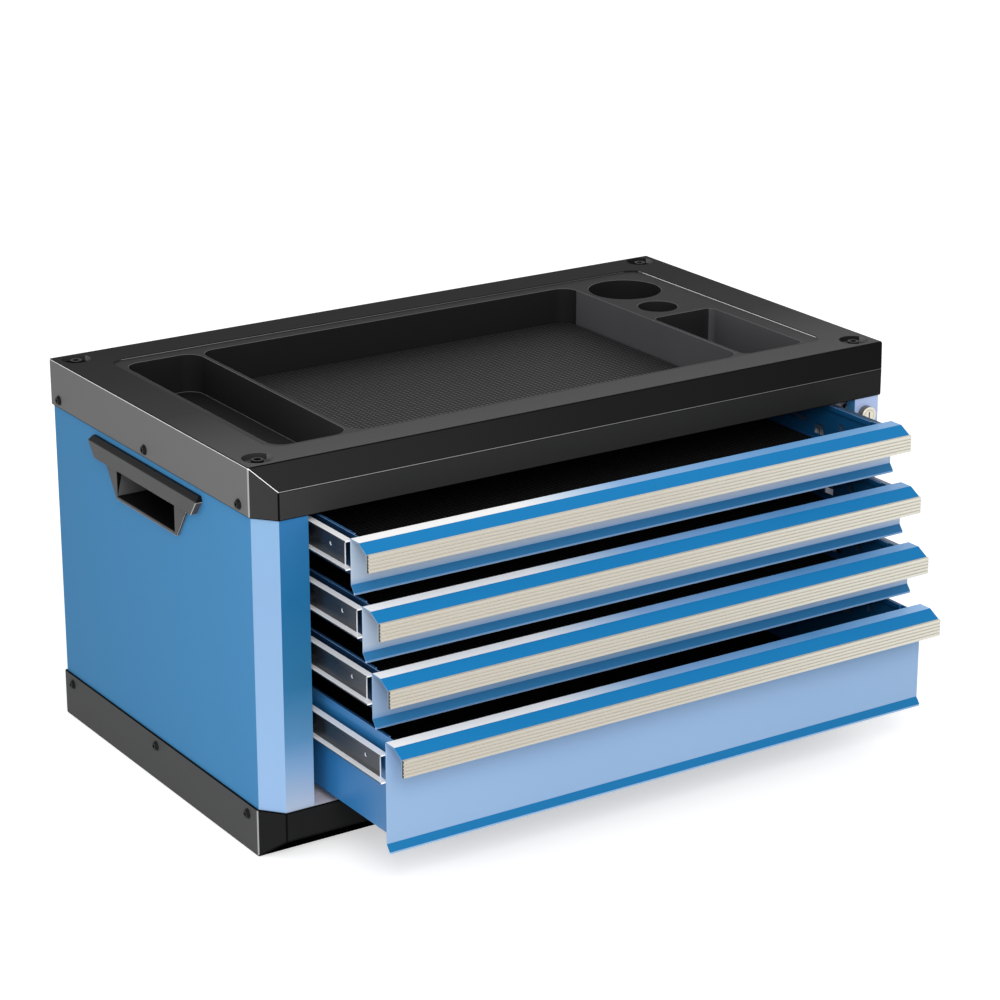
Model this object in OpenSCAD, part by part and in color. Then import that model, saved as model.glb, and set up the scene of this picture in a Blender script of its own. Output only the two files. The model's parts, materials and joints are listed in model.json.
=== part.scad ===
// Portable tool box with four drawers on ball slides, a moulded top tray and a central lock.
// Frame: origin at the centre of the underside, +X to the right, front towards -Y, +Z up. Millimetres.
// The drawers are drawn part-open by open_1 to open_4, as the box stands at rest.

/* [Cabinet] */
// Width over the black mouldings
cabinet_w = 690; // [600:1:800]
// Depth over the black mouldings
cabinet_d = 406; // [400:1:440]
// Height over the black mouldings
cabinet_h = 360; // [350:1:400]
// Height of the top moulding
top_band_h = 45; // [44:1:55]
// Height of the base moulding
base_band_h = 45; // [40:1:55]
// Wall of both mouldings
band_t = 2; // [1.8:0.1:2.4]
// Width of the cut front corners
corner_cut_x = 17.5; // [12:0.5:20]
// Depth of the cut front corners and of the front bevels
corner_cut_y = 21; // [16:0.5:22]
// Drop of the bevel along the top front edge
top_bevel_h = 19; // [14:0.5:20]
// Rise of the bevel along the bottom front edge
base_bevel_h = 18; // [14:0.5:19]
// Thickness of the cabinet sheet steel
sheet_t = 1; // [0.8:0.1:1.2]
// Distance from the side face to the drawer opening
column_reach = 44.8; // [42:0.1:50]
// Width of the folded returns of the side panels
return_w = 12; // [10:0.5:13]
// Distance of the side panels' ends from the top and the bottom of the box
panel_end = 22; // [21:0.5:24]
// Height of the floor plate's folded sides
floor_fold = 16; // [14:0.5:18]
// Thickness of the floor plate
floor_t = 1.2; // [1:0.1:1.5]

/* [Slide posts] */
// Width of the front slide posts
front_post_w = 30; // [26:1:36]
// Distance from the cabinet face to the front slide posts
front_post_set = 23; // [23:0.5:26]
// Thickness of the slide posts
post_t = 1.5; // [1.2:0.1:2]
// Thickness of the posts' end plates
post_end_t = 3; // [2.5:0.1:4]
// Overlap of the rear slide posts with the cabinet rails
rear_post_overlap = 12; // [11:0.5:16]

/* [Drawers] */
// Height step from one drawer to the next
drawer_pitch = 55.2; // [54:0.1:56.5]
// Gap between one drawer front and the next
front_gap = 6.1; // [5:0.1:7]
// Gap between the top moulding and the first drawer front
top_gap = 4.2; // [3:0.1:6]
// How far the deep front hangs below the base moulding's top edge
deep_overlap = 1.4; // [0.5:0.1:2]
// Height of the three shallow drawer boxes
shallow_box_h = 37.8; // [36:0.1:39]
// Height from the floor plate to the deep drawer box
deep_box_lift = 10; // [8:0.1:12]
// Clearance behind the closed drawer boxes
rear_room = 28.8; // [20:0.1:35]
// Thickness of the drawer box sheet
box_t = 1; // [0.8:0.1:1.2]
// Height of the rolled edge along the top of the drawer boxes
hem_h = 5; // [4:0.5:6]
// Width of the rolled edge
hem_w = 2.8; // [2:0.1:3.5]
// Length of the side edges that is cut away behind the front
hem_end = 8; // [5:0.5:12]
// Thickness of the drawer front sheet
front_t = 1.2; // [1:0.1:1.5]
// Gap between a drawer front and the column beside it
front_side_gap = 5.6; // [4:0.1:7]
// Photographed opening of the first drawer
open_1 = 61; // [0:0.5:100]
// Photographed opening of the second drawer
open_2 = 78.5; // [0:0.5:120]
// Photographed opening of the third drawer
open_3 = 93; // [0:0.5:140]
// Photographed opening of the fourth drawer
open_4 = 113.5; // [0:0.5:160]
// Distance from the drawer's front to the slides' hook openings
hook_y = 78; // [70:0.5:85]
// Distance from the drawer's back to the rear hook openings
hook_back = 60; // [50:1:80]
// Length of the hook openings
hook_d = 14; // [10:0.5:16]
// Height of the hook openings
hook_h = 10; // [8:0.5:11]
// Depth of the hook openings below the drawer's top
hook_drop = 23.4; // [22:0.1:25]
// Size of the small square openings beside them
peg_size = 6.5; // [5:0.5:8]
// Distance from the drawer's front to the small openings
peg_y = 49; // [44:0.5:55]
// Depth of the small openings below the drawer's top
peg_drop = 15.5; // [14:0.1:17]
// Length of the long slots behind the hook openings
slot_d = 27; // [20:1:35]
// Height of the long slots
slot_h = 4; // [3:0.5:5]
// Distance from the hook openings to the long slots
slot_gap = 9; // [6:0.5:14]

/* [Drawer fronts] */
// Depth of the flat flange on top of each front
flange_d = 13.3; // [11:0.1:15]
// Depth over the flange and the slope, to the face that carries the pull
pull_reach = 25.4; // [22:0.1:28]
// Drop of the slope in front of the flange
slope_h = 6.5; // [5:0.1:8]
// Height of the leg that carries the pull
leg_h = 15.7; // [14:0.1:17]
// Forward flare of the lower edge
flare_d = 4.5; // [4:0.1:6]
// Drop of the flared lower edge
flare_h = 5.5; // [4:0.1:7]
// Height of the small lip under the flare
lip_h = 1.8; // [1.5:0.1:3]
// Thickness of the pull strip
pull_t = 3; // [2.5:0.1:4]
// Number of ribs on the pull strip
pull_ribs = 5; // [3:1:7]
// Depth of the grooves between the ribs
rib_depth = 0.7; // [0.4:0.1:1]
// Width of the grooves between the ribs
groove_w = 0.9; // [0.6:0.1:1.2]

/* [Slides] */
// Room for a left slide between the drawer box and the slide post
slide_space = 13.2; // [12.9:0.1:14]
// Room for a right slide, whose rail lies closer to the drawer box
right_slide_space = 8.4; // [8.2:0.1:9]
// Room for the lock bar between the drawer opening and the right slides
lock_room = 12.8; // [12:0.1:14]
// Length of the rails
rail_len = 340; // [320:1:345]
// Height of the drawer rail
rail_h = 26.4; // [26:0.1:27]
// Thickness of the rail steel
rail_t = 1.2; // [1:0.1:1.3]
// Depth of the drawer rail's flanges
rail_flange = 6.9; // [6.7:0.1:7.2]
// Gap between the drawer rail and the slide post
rail_gap = 1; // [0.8:0.1:1.2]
// Depth of the cabinet rail's flanges
cabinet_rail_flange = 5.2; // [4.8:0.1:5.3]
// Depth from the top of a shallow drawer to the middle of its slide
shallow_slide_drop = 14.8; // [14.6:0.1:15.2]
// Depth from the top of the deep drawer to the middle of its slide
deep_slide_drop = 24.2; // [20:0.1:40]
// Radius of the balls
ball_r = 1.8; // [1.6:0.1:1.9]
// Clearance around the balls
ball_clear = 0.3; // [0.25:0.05:0.35]
// Clearance of the balls in their cage
ball_fit = 0.1; // [0.05:0.01:0.15]
// Number of balls along each leg of a cage
ball_count = 6; // [4:1:6]
// Distance between the balls
ball_pitch = 10; // [8:0.5:10]
// Thickness of the ball cage
cage_t = 0.7; // [0.5:0.1:0.8]
// Distance from the last ball to the end of its cage
cage_end = 6; // [4:0.5:8]
// Cut-back of the drawer rail's web at the front
web_cut = 11; // [8:0.5:14]
// Distance from the front of the drawer rail to the hole in its web
web_hole_y = 34; // [28:1:40]
// Radius of the pressed bosses between rail and drawer box
boss_r = 5; // [4:0.5:6]
// Distance from the front of the drawer rail to the first boss
boss_front = 70; // [60:1:90]
// Distance from the back of the drawer rail to the last boss
boss_back = 40; // [30:1:60]

/* [Tray] */
// Width of the deck at the left and the right of the tray
deck_side = 43; // [40:0.5:48]
// Depth of the deck in front of the tray
deck_front = 57; // [55:0.5:62]
// Depth of the deck behind the tray
deck_back = 40; // [38:0.5:44]
// Thickness of the tray
tray_t = 1.6; // [1.4:0.1:1.8]
// Corner radius of the tray insert
tray_r = 12; // [10:0.5:14]
// Clearance around the tray in the top moulding
tray_fit = 0.3; // [0.2:0.05:0.5]
// Width of the moulding's wall around the tray
tray_rim_w = 3; // [2.5:0.1:4]
// Height of the step down from the deck to the tray
tray_step = 1.2; // [1:0.1:1.5]
// Width of the ledge that the tray hangs on
ledge_w = 3; // [2.6:0.1:3.2]
// Thickness of the ledge
ledge_t = 2; // [1.6:0.1:2.4]
// Depth of the wells
well_depth = 37; // [30:0.5:38]
// Margin from the tray's left edge to the wells
well_side = 6; // [5.6:0.1:7]
// Margin from the tray's front edge to the wells
well_front = 5; // [4.8:0.1:7]
// Width of the left well
left_well_w = 76; // [70:0.5:80]
// Distance from the tray's back edge to the wells
well_back = 14.5; // [12:0.5:20]
// Width of the ribs between the wells
rib_w = 4; // [3.6:0.1:5]
// Margin from the wells to the tray's right edge
well_right = 19; // [17:0.5:26]
// Corner radius of the wells
well_r = 16; // [10:0.5:20]
// Width of the small front well at the right
right_well_w = 72; // [60:0.5:75]
// Depth of the small front well at the right
right_well_d = 148; // [130:1:150]
// Radius of the large round well
bottle_well_r = 37; // [34:0.5:38]
// Distance from the central well's rib to the large round well
bottle_well_in = 2; // [1:0.5:4]
// Distance from the wells' back edge to the large round well
bottle_well_back = 3; // [2:0.5:5]
// Radius of the small round well
can_well_r = 20; // [16:0.5:22]
// Distance from the central well's rib to the small round well
can_well_in = 10; // [6:0.5:16]
// Thickness of the mat in the central well
tray_mat_t = 3; // [2:0.5:4]
// Gap around the tray's mat
mat_gap = 4; // [2:0.5:6]
// Thickness of the drawer mats
drawer_mat_t = 2; // [1.5:0.5:3]
// Distance from the drawers' side walls to their mats
mat_side = 8.5; // [4:0.5:12]
// Distance from the drawers' front and back walls to their mats
mat_end = 3; // [2:0.5:6]

/* [Grips] */
// Length of the grip bar along its top edge
grip_w = 211; // [200:1:220]
// Height of the grip bar
grip_bar_h = 19; // [17:0.5:21]
// How far the grip bar stands out of the side panel
grip_proud = 7; // [6:0.5:8]
// Gap between the top moulding and the grip
grip_drop = 6; // [4:0.5:8]
// Inward slant of the bar's ends from its top to its bottom edge
grip_end_cut = 10.5; // [8:0.5:13]
// Width of the bevel along the bar's top edge
grip_bevel = 4; // [3:0.5:5]
// Width of the frame under the bar, at its top edge
grip_frame_w = 160; // [150:1:170]
// Height of the grip's frame under the bar
grip_frame_h = 31; // [30:0.5:33]
// How far the frame stands out of the side panel
frame_proud = 3; // [2:0.5:4]
// Height of the bar's edge that hangs below its hollow
finger_lip = 2.5; // [2:0.5:3]
// Width of the finger opening
finger_w = 112; // [105:1:116]
// Height of the finger opening
finger_h = 25; // [23:0.5:26]
// Depth of the finger pocket behind the side panel
pocket_d = 32; // [28:0.5:34]
// Rise of the pocket behind the bar
pocket_rise = 12; // [9:0.5:13]
// Wall of the grip moulding
grip_t = 2; // [1.8:0.1:2.4]
// Clearance of the pocket in the side panel's cut-out
pocket_fit = 0.5; // [0.3:0.1:0.8]

/* [Lock] */
// Distance from the drawer opening to the lock's axis
lock_in = 12.3; // [12:0.1:13]
// Depth of the lock's axis below the top moulding
lock_drop = 16.5; // [15:0.1:18]
// Radius of the lock's face
lock_face_r = 8.5; // [8:0.1:9]
// Radius of the lock's barrel behind the sheet
lock_barrel_r = 7.5; // [7:0.1:7.8]
// Radius of the turning plug
plug_r = 5.45; // [5:0.05:5.8]
// Running clearance around the plug
plug_clear = 0.05; // [0.03:0.01:0.08]
// How far the lock stands out of the column
lock_proud = 7; // [5:0.5:8]
// Length of the barrel behind the column's face
barrel_len = 16; // [14:0.5:16]
// Thickness of the lock's cam
cam_t = 2; // [1.5:0.1:2]
// Radius from the lock's axis to the cam's pin
cam_arm = 6.5; // [5.5:0.1:6.6]
// Radius of the cam's pin
cam_pin_r = 1.5; // [1.2:0.1:1.6]
// Thickness of the lock bar and its fingers
bar_t = 2; // [1.6:0.1:2]
// Length of the fingers' ends that are welded to the lock bar
finger_weld = 6; // [5:0.5:8]
// Width of the lock bar
bar_w = 10; // [9.5:0.5:11]
// Gap between the drawer opening and the lock bar
bar_side_gap = 1.8; // [1.5:0.1:2]
// Radius of the studs that guide the lock bar
stud_r = 2; // [1.6:0.1:2.2]
// Clearance of the pin and the studs in the bar's slots
slot_slack = 0.35; // [0.3:0.05:0.4]
// Running gap between flat moving pieces of the lock
lock_gap = 0.3; // [0.2:0.05:0.4]
// Height of the lock's fingers and of the drawers' catches
catch_h = 7; // [6:0.5:7]
// Thickness of the catches
catch_t = 2; // [1.5:0.1:2.2]
// Overlap of the fingers with the catches
catch_lap = 4; // [3:0.5:5]
// Reach of the catches out of the drawer boxes
catch_reach = 7.4; // [7:0.1:7.8]
// Length of the catches' feet on the drawer boxes
catch_foot_d = 22; // [18:0.5:24]
// Height of the catches' feet
catch_foot_h = 16; // [14:0.5:16.5]
// Gap between the deep drawer's rail and its catch
deep_catch_gap = 18; // [10:0.5:20]

/* [Screws] */
// Radius of the button heads on the mouldings
button_r = 5; // [4.5:0.1:5.5]
// Radius of the flat on top of the button heads
button_top_r = 3.1; // [2.8:0.1:3.4]
// Height of the button heads
button_h = 2.8; // [2:0.1:3]
// Radius of the moulding screws
band_screw_r = 2.5; // [2:0.1:2.7]
// Length of the moulding screws under the head
band_screw_len = 12; // [8:0.5:14]
// Depth of the top screws below the top of the box
top_screw_drop = 37; // [34:0.5:39]
// Height of the base screws above the bottom of the box
base_screw_h = 35; // [32:0.5:37]
// Distance from the middle screw to the outer ones
screw_spread = 175; // [165:1:180]
// Radius of the recesses for the corner screws
recess_r = 13.7; // [12:0.1:14]
// Depth of the recesses for the corner screws
recess_d = 5; // [4:0.1:6]
// Distance from the side of the box to the corner screws
corner_screw_in = 20; // [19:0.1:21]
// Radius of the corner screws' heads
cap_head_r = 5.5; // [5:0.1:6]
// Height of the corner screws' heads
cap_head_h = 4; // [3:0.1:4]
// Radius of the corner screws
cap_screw_r = 3; // [2.5:0.1:3.2]
// Length of the corner screws under the head
cap_screw_len = 20; // [16:0.5:24]
// Clearance of the screw holes
screw_clear = 0.25; // [0.2:0.05:0.3]
// Height of the bosses under the deck
deck_boss_h = 8; // [7:0.5:9]
// Radius of the bosses under the deck
deck_boss_r = 16; // [15.5:0.1:16.2]
// Radius of the rail screws
rail_screw_r = 1.8; // [1.5:0.1:2]

/* [Hidden] */
$fn = 48;
eps = 0.01;
// Overrun of the cutters, and the length of those that pass through thin walls
cut = 1;
through = 20;

// Faces of the cabinet
half_w = cabinet_w / 2;
front_y = -cabinet_d / 2;
back_y = cabinet_d / 2;
body_x = half_w - band_t;
inner_x = body_x - sheet_t;
face_y = front_y + band_t;
rear_y = back_y - band_t;
opening_x = body_x - column_reach;
side_mid_y = corner_cut_y / 2;
band_z = cabinet_h - top_band_h;
panel_z = cabinet_h - panel_end;
back_panel_y = rear_y - sheet_t;
inside_back_y = back_panel_y - sheet_t;

// Slide posts
post_top_z = cabinet_h - band_t - deck_boss_h;
front_post_y = face_y + front_post_set;
cabinet_rail_y = face_y + sheet_t + return_w;
rear_post_y = cabinet_rail_y + rail_len - rear_post_overlap;
front_screw_y = front_post_y + front_post_w / 2;
back_screw_y = back_y - deck_boss_r;
RAIL_SCREW_Y = [front_screw_y, rear_post_y + rear_post_overlap / 2];

// Drawers, counted from 1 at the top
DRAWERS = [1, 2, 3, 4];
OPEN = [0, open_1, open_2, open_3, open_4];
box_x = opening_x - slide_space;
box_right_x = opening_x - lock_room - right_slide_space;
box_w = box_x + box_right_x;
front_w = 2 * (opening_x - front_side_gap);
box_y = face_y + front_t;
box_d = inside_back_y - rear_room - box_y;
function is_deep(n) = n == 4;
function top_of(n) = band_z - top_gap - (n - 1) * drawer_pitch;
function front_h(n) = is_deep(n) ? top_of(n) - base_band_h + deep_overlap : drawer_pitch - front_gap;
function box_z(n) = is_deep(n) ? base_band_h + deep_box_lift : top_of(n) - shallow_box_h;
function slide_z(n) = top_of(n) - (is_deep(n) ? deep_slide_drop : shallow_slide_drop);

// Slides
rail_x = opening_x - rail_gap;
web_x = rail_x - rail_flange;
cabinet_rail_h = rail_h - 2 * rail_t - 4 * (ball_r + ball_clear);
ball_z = cabinet_rail_h / 2 + ball_clear + ball_r;
ball_x = opening_x - rail_t - ball_clear - ball_r;
cage_x = (opening_x - cabinet_rail_flange + web_x + rail_t) / 2 - cage_t / 2;
cage_len = (ball_count - 1) * ball_pitch + 2 * cage_end;
drawer_rail_y = box_y;
cage_mid_y = (cabinet_rail_y + drawer_rail_y + rail_len) / 2;
boss_len = slide_space - rail_gap - rail_flange;
right_boss_len = right_slide_space - rail_gap - rail_flange;
BOSS_Y = [boss_front, (boss_front + rail_len - boss_back) / 2, rail_len - boss_back];

// Tray
ledge_z = cabinet_h - tray_step - tray_t;
tray_top_z = cabinet_h - tray_step;
tray_w = cabinet_w - 2 * deck_side;
tray_front_y = front_y + deck_front;
tray_back_y = back_y - deck_back;
tray_d = tray_back_y - tray_front_y;
well_front_y = tray_front_y + well_front;
well_end_y = tray_back_y - well_back;
well_z = tray_top_z - well_depth;
left_well_x = -tray_w / 2 + well_side;
centre_well_x = left_well_x + left_well_w + rib_w;
right_well_x = tray_w / 2 - well_right - right_well_w;
centre_well_w = right_well_x - rib_w - centre_well_x;
bottle_x = right_well_x + bottle_well_r + bottle_well_in;
bottle_y = well_end_y - bottle_well_r - bottle_well_back;
can_x = right_well_x + can_well_r + can_well_in;
can_y = (well_front_y + right_well_d + bottle_y - bottle_well_r) / 2;

// Grips
grip_top_z = band_z - grip_drop;
grip_bar_z = grip_top_z - grip_bar_h;
finger_z = grip_bar_z - finger_h - finger_lip;
pocket_half = finger_w / 2 + grip_t;
pocket_top_z = grip_bar_z + pocket_rise;

// Lock
lock_x = opening_x + lock_in;
lock_z = band_z - lock_drop;
bar_x = opening_x + bar_side_gap;
bar_y = front_post_y - lock_gap - bar_t;
cam_y = face_y + barrel_len + lock_gap;
lift = 2 * cam_arm * sin(45);
pin_z = lock_z - lift / 2;
pin_x = lock_x - lift / 2;
STUD_Z = [slide_z(4), slide_z(2)];
function catch_z(n) =
    is_deep(n) ? slide_z(n) - rail_h / 2 - deep_catch_gap - catch_foot_h : box_z(n) - catch_h;

// ---- Folded sheet: a path of points and the thickness to its left ----
function normal(a, b) = let (d = (b - a) / norm(b - a)) [-d[1], d[0]];
function mitre(a, b, c) = let (n = normal(a, b), m = normal(b, c)) (n + m) / (1 + n * m);
function shifted(p, i, t) =
    i == 0 ? p[0] + t * normal(p[0], p[1]) :
    i == len(p) - 1 ? p[i] + t * normal(p[i - 1], p[i]) :
    p[i] + t * mitre(p[i - 1], p[i], p[i + 1]);

module folded_sheet(path, t) {
    last = len(path) - 1;
    polygon(concat(path, [for (i = [last:-1:0]) shifted(path, i, t)]));
}

module along_x(w) {
    rotate([90, 0, 90])
        linear_extrude(height = w, center = true)
            children();
}

module mirrored_pair() {
    children();
    mirror([1, 0, 0])
        children();
}

// A left slide and its mirror image, which stands in by the room for the lock bar
module right_of_slide() {
    translate([-lock_room, 0, 0])
        mirror([1, 0, 0])
            children();
}

module slide_pair() {
    children();
    right_of_slide()
        children();
}

// A block with round vertical edges, from its low corner
module rounded_block(x, y, z, size, r) {
    translate([x, y, z]) {
        translate([r, 0, 0])
            cube([size[0] - 2 * r, size[1], size[2]]);
        translate([0, r, 0])
            cube([size[0], size[1] - 2 * r, size[2]]);
        for (cx = [r, size[0] - r], cy = [r, size[1] - r])
            translate([cx, cy, 0])
                cylinder(r = r, h = size[2]);
    }
}

module hole_y(x, z, r, y, len) {
    translate([x, y, z])
        rotate([-90, 0, 0])
            cylinder(r = r, h = len);
}

module hole_x(x, y, z, r, len) {
    translate([x, y, z])
        rotate([0, 90, 0])
            cylinder(r = r, h = len);
}

// ---- Mouldings ----
// Distance along a cut corner's legs a and b once every face has moved in by t
function cut_after(a, b, t) = b + t * (norm([a, b]) - b) / a;

module cabinet_outline(t) {
    cx = cut_after(corner_cut_y, corner_cut_x, t);
    cy = cut_after(corner_cut_x, corner_cut_y, t);
    x = half_w - t;
    polygon([
        [-x, back_y - t],
        [-x, front_y + cy],
        [-half_w + cx, front_y + t],
        [half_w - cx, front_y + t],
        [x, front_y + cy],
        [x, back_y - t]
    ]);
}

// Side view of the top moulding, its faces moved in by t
module top_profile(t) {
    bevel_y = cut_after(top_bevel_h, corner_cut_y, t);
    bevel_z = cut_after(corner_cut_y, top_bevel_h, t);
    polygon([
        [front_y + t, band_z - (t > 0 ? cut : 0)],
        [back_y - t, band_z - (t > 0 ? cut : 0)],
        [back_y - t, cabinet_h - t],
        [front_y + bevel_y, cabinet_h - t],
        [front_y + t, cabinet_h - bevel_z]
    ]);
}

module base_profile(t) {
    bevel_y = cut_after(base_bevel_h, corner_cut_y, t);
    bevel_z = cut_after(corner_cut_y, base_bevel_h, t);
    polygon([
        [front_y + t, base_band_h + (t > 0 ? cut : 0)],
        [front_y + t, bevel_z],
        [front_y + bevel_y, t],
        [back_y - t, t],
        [back_y - t, base_band_h + (t > 0 ? cut : 0)]
    ]);
}

module top_solid(t) {
    intersection() {
        linear_extrude(height = cabinet_h)
            cabinet_outline(t);
        along_x(cabinet_w)
            top_profile(t);
    }
}

module base_solid(t) {
    intersection() {
        translate([0, 0, -cut])
            linear_extrude(height = cabinet_h)
                cabinet_outline(t);
        along_x(cabinet_w)
            base_profile(t);
    }
}

module at_corner_screws() {
    for (x = [-1, 1], y = [front_screw_y, back_screw_y])
        translate([x * (half_w - corner_screw_in), y, 0])
            children();
}

module band_screw_holes(z) {
    for (side = [-1, 1], step = [-1, 0, 1])
        translate([side * half_w, side_mid_y + step * screw_spread, z])
            rotate([0, 90, 0])
                cylinder(r = band_screw_r + screw_clear, h = through, center = true);
}

module tray_block(grow, z, h) {
    rounded_block(
        -tray_w / 2 - grow, tray_front_y - grow, z,
        [tray_w + 2 * grow, tray_d + 2 * grow, h], tray_r + grow
    );
}

module top_frame() {
    color([0.2, 0.2, 0.21])
        difference() {
            union() {
                difference() {
                    top_solid(0);
                    top_solid(band_t);
                }
                tray_block(tray_rim_w, ledge_z - ledge_t, tray_step + tray_t + ledge_t - band_t / 2);
                intersection() {
                    at_corner_screws()
                        translate([0, 0, post_top_z])
                            cylinder(r = deck_boss_r, h = deck_boss_h + band_t / 2);
                    linear_extrude(height = cabinet_h)
                        cabinet_outline(band_t / 2);
                }
            }
            tray_block(tray_fit, ledge_z, tray_t + tray_step + cut);
            tray_block(-ledge_w, ledge_z - ledge_t - cut, through);
            at_corner_screws() {
                translate([0, 0, cabinet_h - recess_d])
                    cylinder(r = recess_r, h = recess_d + cut);
                translate([0, 0, post_top_z - cut])
                    cylinder(r = cap_screw_r + screw_clear, h = deck_boss_h);
            }
            band_screw_holes(cabinet_h - top_screw_drop);
        }
}

module base_frame() {
    color([0.2, 0.2, 0.21])
        difference() {
            base_solid(0);
            base_solid(band_t);
            band_screw_holes(base_screw_h);
        }
}

// ---- Cabinet sheet metal ----
module side_panel_blank() {
    cy = cut_after(corner_cut_x, corner_cut_y, band_t);
    cx = cut_after(corner_cut_y, corner_cut_x, band_t);
    path = [
        [-body_x + return_w, rear_y],
        [-body_x, rear_y],
        [-body_x, front_y + cy],
        [-half_w + cx, face_y],
        [-opening_x, face_y],
        [-opening_x, face_y + return_w]
    ];
    translate([0, 0, panel_end])
        linear_extrude(height = panel_z - panel_end)
            folded_sheet(path, sheet_t);
}

module side_panel() {
    hole_z = finger_z - grip_t - pocket_fit;
    hole_half = pocket_half + pocket_fit;
    difference() {
        side_panel_blank();
        // relief below the return, where the floor plate passes
        translate([-opening_x - 2 * sheet_t, face_y + sheet_t, 0])
            cube([2 * sheet_t + cut, return_w + cut, base_band_h]);
        band_screw_holes(cabinet_h - top_screw_drop);
        band_screw_holes(base_screw_h);
        translate([-body_x - cut, side_mid_y - hole_half, hole_z])
            cube([through, 2 * hole_half, pocket_top_z + grip_t + pocket_fit - hole_z]);
    }
}

module left_side_panel() {
    color([0.31, 0.53, 0.72])
        side_panel();
}

module right_side_panel() {
    color([0.31, 0.53, 0.72])
        difference() {
            mirror([1, 0, 0])
                side_panel();
            hole_y(lock_x, lock_z, lock_barrel_r + plug_clear, face_y - cut, sheet_t + 2 * cut);
        }
}

module back_panel() {
    color([0.31, 0.53, 0.72])
        translate([-inner_x, inside_back_y, panel_end])
            cube([2 * inner_x, sheet_t, panel_z - panel_end]);
}

module floor_plate() {
    color([0.72, 0.75, 0.78])
        difference() {
            union() {
                intersection() {
                    translate([0, 0, base_band_h - floor_t])
                        linear_extrude(height = floor_t)
                            cabinet_outline(band_t + sheet_t);
                    translate([-half_w, front_y, 0])
                        cube([cabinet_w, inside_back_y - front_y, cabinet_h]);
                }
                translate([-opening_x, face_y, base_band_h - floor_fold])
                    cube([2 * opening_x, sheet_t + floor_t, floor_fold]);
                mirrored_pair()
                    translate([-inner_x, -screw_spread, base_band_h - floor_fold])
                        cube([floor_t, 2 * screw_spread + corner_cut_y, floor_fold]);
            }
            band_screw_holes(base_screw_h);
        }
}

// ---- Slide posts ----
module slide_post(face_x, y, w) {
    z = base_band_h;
    h = post_top_z - z;
    path = [[-inner_x, y], [-face_x, y], [-face_x, y + w], [-inner_x, y + w]];
    difference() {
        union() {
            translate([0, 0, z])
                linear_extrude(height = h)
                    folded_sheet(path, post_t);
            for (end_z = [z, post_top_z - post_end_t])
                translate([-inner_x, y + post_t, end_z])
                    cube([inner_x - face_x - post_t, w - 2 * post_t, post_end_t]);
        }
        for (n = DRAWERS, sy = RAIL_SCREW_Y)
            hole_x(-face_x - post_t - cut, sy, slide_z(n), rail_screw_r + screw_clear, post_t + 2 * cut);
        at_corner_screws()
            translate([0, 0, post_top_z - post_end_t - cut])
                cylinder(r = cap_screw_r + screw_clear, h = post_end_t + 2 * cut);
    }
}

module slide_posts(face_x) {
    slide_post(face_x, front_post_y, front_post_w);
    slide_post(face_x, rear_post_y, inside_back_y - rear_post_y);
}

module left_slide_posts() {
    color([0.66, 0.69, 0.72])
        slide_posts(opening_x);
}

module right_slide_posts() {
    color([0.66, 0.69, 0.72])
        difference() {
            mirror([1, 0, 0])
                slide_posts(opening_x - lock_room);
            for (z = STUD_Z)
                hole_y(bar_x + bar_w / 2, z, stud_r, front_post_y - cut, post_t + 2 * cut);
        }
}

// ---- Slides ----
module cabinet_rail(n) {
    h = cabinet_rail_h / 2;
    d = cabinet_rail_flange;
    path = [
        [-opening_x + d, -h],
        [-opening_x, -h],
        [-opening_x, h],
        [-opening_x + d, h]
    ];
    difference() {
        translate([0, cabinet_rail_y, slide_z(n)])
            rotate([90, 0, 0])
                translate([0, 0, -rail_len])
                    linear_extrude(height = rail_len)
                        folded_sheet([for (i = [3:-1:0]) path[i]], rail_t);
        for (sy = RAIL_SCREW_Y)
            hole_x(-opening_x - cut, sy, slide_z(n), rail_screw_r + screw_clear, rail_t + 2 * cut);
    }
}

module cabinet_rails(n) {
    color([0.75, 0.77, 0.79])
        slide_pair()
            cabinet_rail(n);
}

module drawer_rail(n, boss_len) {
    h = rail_h / 2;
    path = [[-rail_x, h], [-web_x, h], [-web_x, -h], [-rail_x, -h]];
    difference() {
        union() {
            translate([0, drawer_rail_y, slide_z(n)])
                rotate([90, 0, 0])
                    translate([0, 0, -rail_len])
                        linear_extrude(height = rail_len)
                            folded_sheet([for (i = [3:-1:0]) path[i]], rail_t);
            for (by = BOSS_Y)
                hole_x(-web_x - eps, drawer_rail_y + by, slide_z(n), boss_r, boss_len + eps);
        }
        translate([-web_x - rail_t - eps, drawer_rail_y - cut, slide_z(n) - h + rail_t])
            cube([rail_t + cut, web_cut + cut, rail_h - 2 * rail_t]);
        hole_x(-rail_x, drawer_rail_y + web_hole_y, slide_z(n), rail_screw_r, rail_flange + cut);
    }
}

module at_balls() {
    for (side = [-1, 1], i = [0:ball_count - 1])
        translate([-ball_x, cage_end + i * ball_pitch, side * ball_z])
            children();
}

module ball_cage(n) {
    leg_x = ball_x + ball_r + cage_t;
    translate([0, cage_mid_y - cage_len / 2, slide_z(n)]) {
        difference() {
            union() {
                translate([-cage_x - cage_t, 0, -ball_z - cage_t / 2])
                    cube([cage_t, cage_len, 2 * ball_z + cage_t]);
                for (side = [-1, 1])
                    translate([-leg_x, 0, side * ball_z - cage_t / 2])
                        cube([leg_x - cage_x - eps, cage_len, cage_t]);
            }
            at_balls()
                cylinder(r = ball_r + ball_fit, h = cage_t + cut, center = true);
        }
        at_balls()
            sphere(r = ball_r);
    }
}

module ball_cages(n) {
    color([0.8, 0.8, 0.82])
        translate([0, -OPEN[n] / 2, 0])
            slide_pair()
                ball_cage(n);
}

// ---- Drawers ----
module at_rest(n) {
    translate([0, -OPEN[n], 0])
        children();
}

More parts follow.
